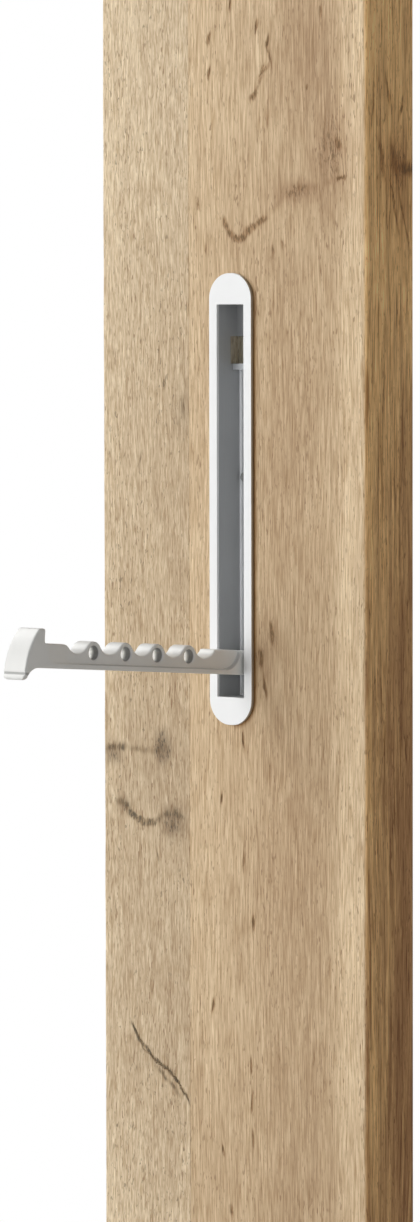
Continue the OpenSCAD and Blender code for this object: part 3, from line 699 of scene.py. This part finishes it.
# Colours of metals and plastics
SATIN_WHITE = (0.87, 0.875, 0.872)
CAST_SILVER = (0.78, 0.778, 0.755)
TROUGH_GREY = (0.445, 0.452, 0.458)
ZINC = (0.62, 0.62, 0.60)
NYLON = (0.80, 0.79, 0.73)
BUFFER_GREY = (0.62, 0.64, 0.66)

# Sizes of the mottle in millimetres, the brushed lines per millimetre along x, y and z, and the relief
PAINT_CLOUD = 18
BRUSHED_CLOUD = 25
BRUSHED_LINES = (2.4, 2.4, 0.03)
FINE_RELIEF = 0.02 * MM

# The cover plate's outer edge: its factor of painted shade where it faces right, and its distance from the middle
PLATE_SIDE_SHADE = (0.46, 0.375, 0.28)
PLATE_OUTER_X = (11.0, 12.0)
PLATE_OUTER_Z = (116, 118)

# The trough: its back wall, its upright corners and how much brighter painted light makes these two
TROUGH_BACK_Y = (-25, -23.4)
TROUGH_CORNER_X = (8.4, 9.2)
TROUGH_PAINTED_BRIGHTER = (1.65, 2.6)

# Places in the arm's side view, out from the pivot and up, in millimetres
ARM_TILT = math.radians(4)
ARM_COS, ARM_SIN = math.cos(ARM_TILT), math.sin(ARM_TILT)
EYES = [50.5 + 27 * k for k in range(4)]
EYE_UP = 2.05
EYE_RADIUS = 3.9
HOLLOW_END = (20.7, 7.9)
HOLLOW_END_R = 12.5
FLANGE_TOP = -4.6
FLANGE_START = (19, 22)
FLANGE_END = (165, 110)
LIP_GROOVE = (191.05, -10.9)
LIP_GROOVE_R = 1.2
LIP_START = (186, 188)

# Painted shade and light on the casting: bores painted darker towards the right and brighter at their far end,
# over these x in millimetres, and painted shade along outlines and in the groove
BORE_X, BORE_SHADE = (0.4, 2.6), 0.62
BORE_END_X, BORE_END_LIGHT = (1.0, -0.6), 0.55
OUTLINE_SHADE = 0.3
GROOVE_SHADE = 0.45


def painted(name, colour, roughness, grain, metallic=0.0, speck=1.2, gloss=0.5, shading=None):
    """A finish with a faint mottle, and a fine orange peel in its relief and roughness."""
    t = Tree(name)
    p = t.object_place()
    cloud = t.noise(p, 1 / PAINT_CLOUD, 3.0)
    peel = t.noise(p, speck, 2.0)
    tint = t.tint(colour, t.ramp(cloud, 0.25, 0.75, 1.0 - grain, 1.0 + grain * 0.5, smooth=False))
    if shading:
        tint = t.tint(tint, shading(t, p))
    rough = t.ramp(peel, 0.2, 0.8, roughness - 0.05, roughness + 0.06)
    bump = t.bump(peel, FINE_RELIEF, 0.4)
    return t.surface(tint, rough, bump, Metallic=metallic, Specular_IOR_Level=gloss)


def brushed(name, colour, roughness, metallic, shading=None):
    """Metal with fine upright lines."""
    t = Tree(name)
    p = t.object_place()
    lines = t.noise(t.vector("MULTIPLY", p, BRUSHED_LINES), 1.0, 3.0)
    cloud = t.noise(p, 1 / BRUSHED_CLOUD, 2.0)
    level = t.math("ADD", t.product(lines, 0.6), t.product(cloud, 0.4))
    shade = t.ramp(level, 0.3, 0.7, 0.93, 1.05, smooth=False)
    if shading:
        shade = t.product(shade, shading(t, p))
    rough = t.ramp(lines, 0.3, 0.7, roughness - 0.04, roughness + 0.06)
    return t.surface(t.tint(colour, shade), rough, t.bump(lines, FINE_RELIEF, 0.4), Metallic=metallic)


def eye_painted_light(t, x, out, up):
    """Painted shade and light: how much darker each eye's bore is at its right-hand end, and how much brighter
    further in, where light comes through.
    """
    folded = t.math("PINGPONG", t.math("SUBTRACT", out, EYES[0]), (EYES[1] - EYES[0]) / 2)
    after_first = t.ramp(out, EYES[0] - 6, EYES[0] - 5)
    before_last = t.ramp(out, EYES[-1] + 6, EYES[-1] + 5)
    reach = t.length(folded, t.math("SUBTRACT", up, EYE_UP))
    in_eye = t.product(after_first, before_last, t.ramp(reach, EYE_RADIUS + 0.3, EYE_RADIUS))
    darker = t.product(in_eye, t.ramp(x, *BORE_X, 0.0, BORE_SHADE))
    brighter = t.product(in_eye, t.ramp(x, *BORE_END_X, 0.0, BORE_END_LIGHT))
    return darker, brighter


def hollow_shade(t, out, up):
    """Painted shade along the round lower corner, towards the pivot, of the hollow in the casting's side."""
    end_u = t.math("SUBTRACT", out, HOLLOW_END[0])
    end_v = t.math("SUBTRACT", up, HOLLOW_END[1])
    line = t.ramp(t.gap(t.length(end_u, end_v), HOLLOW_END_R), 0.9, 0.15)
    return t.product(line, t.ramp(end_u, 1.0, -1.0), t.ramp(end_v, 0.5, -1.5), OUTLINE_SHADE)


def flange_shade(t, out, up):
    """Painted shade in the line along the top of the lower flange, which fades towards the nose."""
    line = t.ramp(t.gap(up, FLANGE_TOP), 0.55, 0.1)
    return t.product(line, t.ramp(out, *FLANGE_START), t.ramp(out, *FLANGE_END, 0.0, OUTLINE_SHADE))


def cast_painted_light(t, p):
    """Factor on the casting's colour: painted shade in lines, bores and the lip's groove, and painted light on the
    bores' far walls.
    """
    x, y, z = t.split(t.vector("SUBTRACT", p, tuple(PIVOT / MM)))
    out = t.math("MULTIPLY_ADD", z, ARM_SIN, t.product(y, -ARM_COS))
    up = t.math("MULTIPLY_ADD", z, ARM_COS, t.product(y, ARM_SIN))
    bore, far_wall_light = eye_painted_light(t, x, out, up)
    # Painted shade in the groove between the nose's front and the lip's bead
    groove = t.product(t.ramp(out, *LIP_START), t.ramp(t.gap(up, LIP_GROOVE[1]), 1.0, 0.3), GROOVE_SHADE)
    dark = t.highest(bore, hollow_shade(t, out, up), flange_shade(t, out, up), groove)
    return t.math("ADD", t.math("SUBTRACT", 1.0, dark), far_wall_light)


def trough_painted_light(t, p):
    """Painted light: the trough's back wall is brighter than its sides, and a painted highlight makes it brightest
    in its upright corners.
    """
    x, y = t.split(p)[:2]
    back = t.ramp(y, *TROUGH_BACK_Y)
    corner = t.ramp(t.math("ABSOLUTE", x), *TROUGH_CORNER_X, *TROUGH_PAINTED_BRIGHTER)
    return t.highest(t.product(back, corner), 1.0)


def plate_painted_shade(t, p):
    """Painted shade: the cover plate's outer edge is darker and browner where it faces right."""
    facing = t.facing_right(0.25, 0.65)
    x, _, z = t.split(p)
    beside = t.ramp(t.math("ABSOLUTE", x), *PLATE_OUTER_X)
    above = t.ramp(t.gap(z, PLATE_MIDDLE_Z), *PLATE_OUTER_Z)
    outer = t.highest(beside, above)
    return t.mix(t.product(facing, outer), (1.0, 1.0, 1.0), PLATE_SIDE_SHADE)


white_paint = painted("satin_white", SATIN_WHITE, 0.42, 0.02, shading=plate_painted_shade)
cast_silver = painted("cast_silver", CAST_SILVER, 0.46, 0.05, metallic=0.06, speck=1.6, gloss=0.35,
                      shading=cast_painted_light)
trough_grey = brushed("trough_grey", TROUGH_GREY, 0.5, 0.2, trough_painted_light)
zinc = brushed("zinc_steel", ZINC, 0.34, 0.9)
nylon = painted("nylon_white", NYLON, 0.5, 0.03)
buffer_grey = painted("buffer_grey", BUFFER_GREY, 0.5, 0.03)

FINISHES = {
    "oak": oak_right, "plate_metal": white_paint, "arm_metal": cast_silver, "housing_metal": trough_grey,
    "steel": zinc, "nylon": nylon, "buffer_plastic": buffer_grey,
}


def paint(obj, material):
    obj.data.materials.clear()
    obj.data.materials.append(material)


for part in frame["record"]["subparts"]:
    paint(frame["nodes"][part["node"]], FINISHES[part["material_slot"]])
paint(frame["nodes"]["stave_left"], oak_left)


# Pieces that stand for CAD nodes
def piece_from(form, name):
    """A new object with the mesh of a bmesh, which is then freed."""
    mesh = bpy.data.meshes.new(name)
    form.to_mesh(mesh)
    form.free()
    made = bpy.data.objects.new(name, mesh)
    bpy.context.scene.collection.objects.link(made)
    return made


def copied(node, name):
    """A closed copy of a node's mesh as a new object."""
    form = bmesh.new()
    form.from_mesh(frame["nodes"][node].data)
    bmesh.ops.remove_doubles(form, verts=form.verts, dist=1e-6)
    bmesh.ops.dissolve_limit(form, angle_limit=math.radians(0.5), verts=form.verts, edges=form.edges)
    return piece_from(form, name)


def tube(name, rings):
    """A closed tube through rings of points, with a face over each end."""
    form = bmesh.new()
    rings = [[form.verts.new(point) for point in ring] for ring in rings]
    count = len(rings[0])
    for low, high in zip(rings, rings[1:]):
        for k in range(count):
            after = (k + 1) % count
            form.faces.new((low[k], low[after], high[after], high[k]))
    form.faces.new(rings[0])
    form.faces.new(rings[-1])
    bmesh.ops.recalc_face_normals(form, faces=form.faces)
    return piece_from(form, name)


def apply_modifiers(obj):
    shaped = obj.evaluated_get(bpy.context.evaluated_depsgraph_get())
    mesh = bpy.data.meshes.new_from_object(shaped)
    obj.modifiers.clear()
    old = obj.data
    obj.data = mesh
    bpy.data.meshes.remove(old)


def cut_with(obj, other, operation):
    """Boolean with another object, which is then removed."""
    cut = obj.modifiers.new("cut", "BOOLEAN")
    cut.operation = operation
    cut.solver = "EXACT"
    cut.object = other
    apply_modifiers(obj)
    mesh = other.data
    bpy.data.objects.remove(other)
    bpy.data.meshes.remove(mesh)


def shade_smooth(obj, sharp=None):
    obj.data.shade_smooth()
    if sharp is not None:
        obj.data.set_sharp_from_angle(angle=math.radians(sharp))


def finish_piece(obj, node, body, material):
    paint(obj, material)
    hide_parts(node)
    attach(obj, body)


# Staves: a finely divided shell just inside the CAD stave, cut to the stave's own pockets and holes.
# Its rings are RING_STEP apart; a ring's points are FRONT_STEP apart, and so many on a side and a corner
FRONT_STEP = 1.3 * MM
RING_STEP = 4 * MM
SIDE_ROWS = 11
CORNER_STEPS = 6
SKIN = 0.02 * MM
END_CHAMFER = 0.6 * MM

# Relief of the front: its depth, and the width and length of its fine grain and of its wide waves
GRAIN_RELIEF = 0.07 * MM
FINE_GRAIN = (1.7 * MM, 26 * MM)
WIDE_WAVES = (11 * MM, 60 * MM)
WIDE_SEED = 3.1

# Radius of an upright edge in millimetres, and the waves in it: amount, length in metres and seed
RIGHT_ARRIS = (3.1, [(0.7, 0.045, 4.2), (0.35, 0.012, 9.1)])
LEFT_EDGE = (1.5, [(0.4, 0.03, 2.2)])
STAVE_JOINT = (0.3, [])
SEED_SLANT = 0.37


def edge_radius(edge, z):
    """The radius of an edge at a height, in metres."""
    radius, waves = edge
    for amount, length, seed in waves:
        radius += amount * noise.noise(Vector((seed, seed * SEED_SLANT, z / length)))
    return radius * MM


def front_dip(x, z):
    """How far the front's relief goes into the wood."""
    fine = Vector((x / FINE_GRAIN[0], 0, z / FINE_GRAIN[1]))
    wide = Vector((x / WIDE_WAVES[0], WIDE_SEED, z / WIDE_WAVES[1]))
    return GRAIN_RELIEF * (1 + noise.noise(fine)) / 2 + 2 * GRAIN_RELIEF * (1 + noise.noise(wide)) / 2


def corner_points(edge_x, inward, front, radius, start):
    """A quarter circle at a front corner; inward is 1 at a left edge and -1 at a right one."""
    points = []
    for k in range(CORNER_STEPS + 1):
        angle = start + math.pi / 2 * k / CORNER_STEPS
        x = edge_x + radius * (inward + math.cos(angle))
        points.append((x, front + radius * (1 + math.sin(angle))))
    return points


def stave_loop(z, x0, x1, radius_left, radius_right):
    """One ring of the shell: back, left side, left corner, front, right corner, right side."""
    front, back = FRONT_Y + SKIN, BOARD_HIGH.y + 1 * MM
    depth = back - front
    points = [(x, back) for x in (x1, (x0 + x1) / 2, x0)]
    for k in range(1, SIDE_ROWS):
        points.append((x0, back - (depth - radius_left) * k / SIDE_ROWS))
    points += corner_points(x0, 1, front, radius_left, math.pi)
    columns = round((x1 - x0) / FRONT_STEP)
    inner_left, inner_right = x0 + radius_left, x1 - radius_right
    for k in range(1, columns):
        x = inner_left + (inner_right - inner_left) * k / columns
        points.append((x, front + front_dip(x, z)))
    points += corner_points(x1, -1, front, radius_right, 1.5 * math.pi)
    for k in range(1, SIDE_ROWS):
        points.append((x1, front + radius_right + (depth - radius_right) * k / SIDE_ROWS))
    return [Vector((x, y, z)) for x, y in points]


def stave_shell(name, x0, x1, edge_left, edge_right):
    """A stave with rounded upright edges, relief on its front and a small chamfer at both ends."""
    ends = BOARD_HIGH.z - SKIN
    inset = ends - END_CHAMFER
    rows = round(2 * inset / RING_STEP)
    heights = [-ends] + [-inset + 2 * inset * k / rows for k in range(rows + 1)] + [ends]
    rings = []
    for z in heights:
        ring = stave_loop(z, x0 + SKIN, x1 - SKIN, edge_radius(edge_left, z), edge_radius(edge_right, z))
        if abs(z) > inset + SKIN:
            for point in ring:
                if point.y < BOARD_HIGH.y:
                    point.x = min(max(point.x, x0 + END_CHAMFER), x1 - END_CHAMFER)
                    point.y = max(point.y, FRONT_Y + END_CHAMFER)
        rings.append(ring)
    return tube(name, rings)


def crack_cutter():
    """A thin wedge along the check, widest and deepest in its middle."""
    surface = FRONT_Y - 1 * MM
    count = len(CRACK)
    rings = []
    for k, (x, z) in enumerate(CRACK):
        before, after = CRACK[max(k - 1, 0)], CRACK[min(k + 1, count - 1)]
        along = Vector((after[0] - before[0], 0, after[1] - before[1])).normalized()
        across = Vector((-along.z, 0, along.x))
        swell = math.sin(math.pi * (k + 0.4) / (count - 0.2))
        half = CRACK_WIDTH / 2 * (CRACK_END_WIDTH + (1 - CRACK_END_WIDTH) * swell) * MM
        deep = CRACK_DEPTH * (CRACK_END_DEPTH + (1 - CRACK_END_DEPTH) * swell) * MM
        centre = Vector((x * MM, surface, z * MM))
        floor = Vector((x * MM, FRONT_Y + deep, z * MM))
        rings.append((centre + across * half, centre - across * half, floor))
    return tube("crack_cutter", rings)


# Pits in strong flecks: least strength, depth, shares of the fleck's width and height, room to an edge
PIT_STRENGTH = 0.55
PIT_DEPTH = 0.45
PIT_SHARES = (0.36, 0.42)
PIT_FROM_EDGE = 3


def pit_cutter(left, right):
    """One lens for each strong fleck between two x, as one mesh."""
    form = bmesh.new()
    for x, z, width, height, slant, strength in FLECKS:
        if strength >= PIT_STRENGTH and left + PIT_FROM_EDGE < x < right - PIT_FROM_EDGE:
            place = Matrix.Translation((x * MM, FRONT_Y, z * MM))
            turn = Matrix.Rotation(math.radians(-slant), 4, "Y")
            half_x, half_z = width * PIT_SHARES[0] * MM, height * PIT_SHARES[1] * MM
            size = Matrix.Diagonal((half_x, PIT_DEPTH * MM, half_z, 1))
            bmesh.ops.create_icosphere(form, subdivisions=2, radius=1, matrix=place @ turn @ size)
    return piece_from(form, "pit_cutter")


def make_stave(node, material, edge_left, edge_right):
    low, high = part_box(node)
    stave = stave_shell(node + "_oak", low.x, high.x, edge_left, edge_right)
    cut_with(stave, copied(node, node + "_copy"), "INTERSECT")
    cut_with(stave, pit_cutter(low.x / MM, high.x / MM), "DIFFERENCE")
    if node == "stave_left":
        cut_with(stave, crack_cutter(), "DIFFERENCE")
    shade_smooth(stave, 35)
    finish_piece(stave, node, "panel", material)


# The casting: the CAD arm in voxels with softened edges, in millimetres. Its rounded corners, as two edges
# and a radius, the side of its web and the chamfer of its eyes
ARM_VOXEL = 0.42
NOSE_STEP, NOSE_TOP, NOSE_ROUND = 174.7, 14.6, 2.2
LIP_SIDE, LIP_LOW, LIP_ROUND = 8.25, -14.6, 3.6
WEB_SIDE = 6.0
EYE_RIM = 0.8

# Softening, from 0 to 1 in steps, of the heel, the nose, the top between them and the eyes: least amount,
# what is added, and between which heights, or distances from an eye, that sets in
SMOOTHING_ROUNDS = 40
SOFT_STEPS = 25
HEEL_END, NOSE_START = 24, 165
HEEL_SOFT = (0.06, 0.5, 3.5, 5.0)
NOSE_SOFT = (0.05, 0.60, -9, -3)
TOP_SOFT = (0.06, 0.94, -3.5, 0.5)
EYE_SOFT = (0.18, 0.82, 4.9, 6.3)


def along_arm(point):
    """A point's place in the arm's side view, in millimetres: out from the pivot, and up."""
    away = (point - PIVOT) / MM
    return away.z * ARM_SIN - away.y * ARM_COS, away.z * ARM_COS + away.y * ARM_SIN


def from_arm(x, out, up):
    """The other way round, with x in millimetres too."""
    return PIVOT + Vector((x, up * ARM_SIN - out * ARM_COS, out * ARM_SIN + up * ARM_COS)) * MM


def set_in(value, least, more, low, high):
    """From least to least plus more, as the value goes from low to high."""
    return least + more * min(max((value - low) / (high - low), 0.0), 1.0)


def softness(out, up):
    """How much the casting's edges soften at a place."""
    if out < HEEL_END:
        return set_in(up, *HEEL_SOFT)
    if out > NOSE_START:
        return set_in(up, *NOSE_SOFT)
    near_eye = min(math.hypot(out - eye, up - EYE_UP) for eye in EYES)
    return set_in(up, *TOP_SOFT) * set_in(near_eye, *EYE_SOFT)


def rounded_corner(a, b, edge_a, edge_b, radius):
    """Brings a point outside a rounded corner back onto it; a and b grow towards its edges."""
    centre_a, centre_b = edge_a - radius, edge_b - radius
    over_a, over_b = a - centre_a, b - centre_b
    reach = math.hypot(over_a, over_b)
    if over_a > 0 and over_b > 0 and reach > radius:
        return centre_a + over_a * radius / reach, centre_b + over_b * radius / reach
    return a, b


def round_corners(arm):
    """The nose's upper corner at its step towards the pivot, and the lip's two lower corners."""
    for vertex in arm.data.vertices:
        out, up = along_arm(vertex.co)
        x = vertex.co.x / MM
        if up > 0:
            back, up = rounded_corner(-out, up, -NOSE_STEP, NOSE_TOP, NOSE_ROUND)
            out = -back
        elif out > NOSE_START:
            side, low = rounded_corner(abs(x), -up, LIP_SIDE, -LIP_LOW, LIP_ROUND)
            x, up = math.copysign(side, x), -low
        vertex.co = from_arm(x, out, up)


def add_cone(form, place, turn, segments, radius1, radius2, depth):
    """A cone across the arm at (x, out, up), turned about Y; its sizes are in millimetres."""
    matrix = Matrix.Translation(from_arm(*place)) @ Matrix.Rotation(turn, 4, "Y")
    bmesh.ops.create_cone(form, cap_ends=True, segments=segments, radius1=radius1 * MM,
                          radius2=radius2 * MM, depth=depth * MM, matrix=matrix)


def groove_cutter():
    """The groove between the nose's front and the bead along the lip."""
    form = bmesh.new()
    add_cone(form, (0, *LIP_GROOVE), math.pi / 2, 24, LIP_GROOVE_R, LIP_GROOVE_R, 2 * (LIP_SIDE + 1))
    return piece_from(form, "groove_cutter")


def rim_cutter():
    """Cones that chamfer both ends of the eyes."""
    form = bmesh.new()
    for out in EYES:
        for side in (-1, 1):
            place = (side * WEB_SIDE, out, EYE_UP)
            outer = EYE_RADIUS + 2 * EYE_RIM
            add_cone(form, place, side * math.pi / 2, 32, EYE_RADIUS, outer, 2 * EYE_RIM)
    return piece_from(form, "rim_cutter")


def make_arm():
    arm = copied("arm", "arm_casting")
    cut_with(arm, groove_cutter(), "DIFFERENCE")
    cut_with(arm, rim_cutter(), "DIFFERENCE")
    remesh = arm.modifiers.new("voxels", "REMESH")
    remesh.mode = "VOXEL"
    remesh.voxel_size = ARM_VOXEL * MM
    apply_modifiers(arm)
    group = arm.vertex_groups.new(name="soft")
    steps = {}
    for vertex in arm.data.vertices:
        weight = round(softness(*along_arm(vertex.co)) * SOFT_STEPS) / SOFT_STEPS
        steps.setdefault(weight, []).append(vertex.index)
    for weight, indices in steps.items():
        group.add(indices, weight, "REPLACE")
    soften = arm.modifiers.new("soften", "SMOOTH")
    soften.factor = 0.5
    soften.iterations = SMOOTHING_ROUNDS
    soften.vertex_group = "soft"
    apply_modifiers(arm)
    arm.vertex_groups.clear()
    round_corners(arm)
    shade_smooth(arm)
    finish_piece(arm, "arm", "arm", cast_silver)


PLATE_EASE = 0.35 * MM


def make_plate():
    """The cover plate with eased edges and flat faces."""
    plate = copied("cover_plate", "cover_plate_eased")
    ease = plate.modifiers.new("ease", "BEVEL")
    ease.width = PLATE_EASE
    ease.segments = 3
    ease.limit_method = "ANGLE"
    ease.angle_limit = math.radians(50)
    apply_modifiers(plate)
    shade_smooth(plate, 40)
    flatten = plate.modifiers.new("flatten", "WEIGHTED_NORMAL")
    flatten.keep_sharp = True
    apply_modifiers(plate)
    finish_piece(plate, "cover_plate", "panel", white_paint)


make_arm()
make_plate()
make_stave("stave_left", oak_left, LEFT_EDGE, STAVE_JOINT)
make_stave("stave_right", oak_right, STAVE_JOINT, RIGHT_ARRIS)
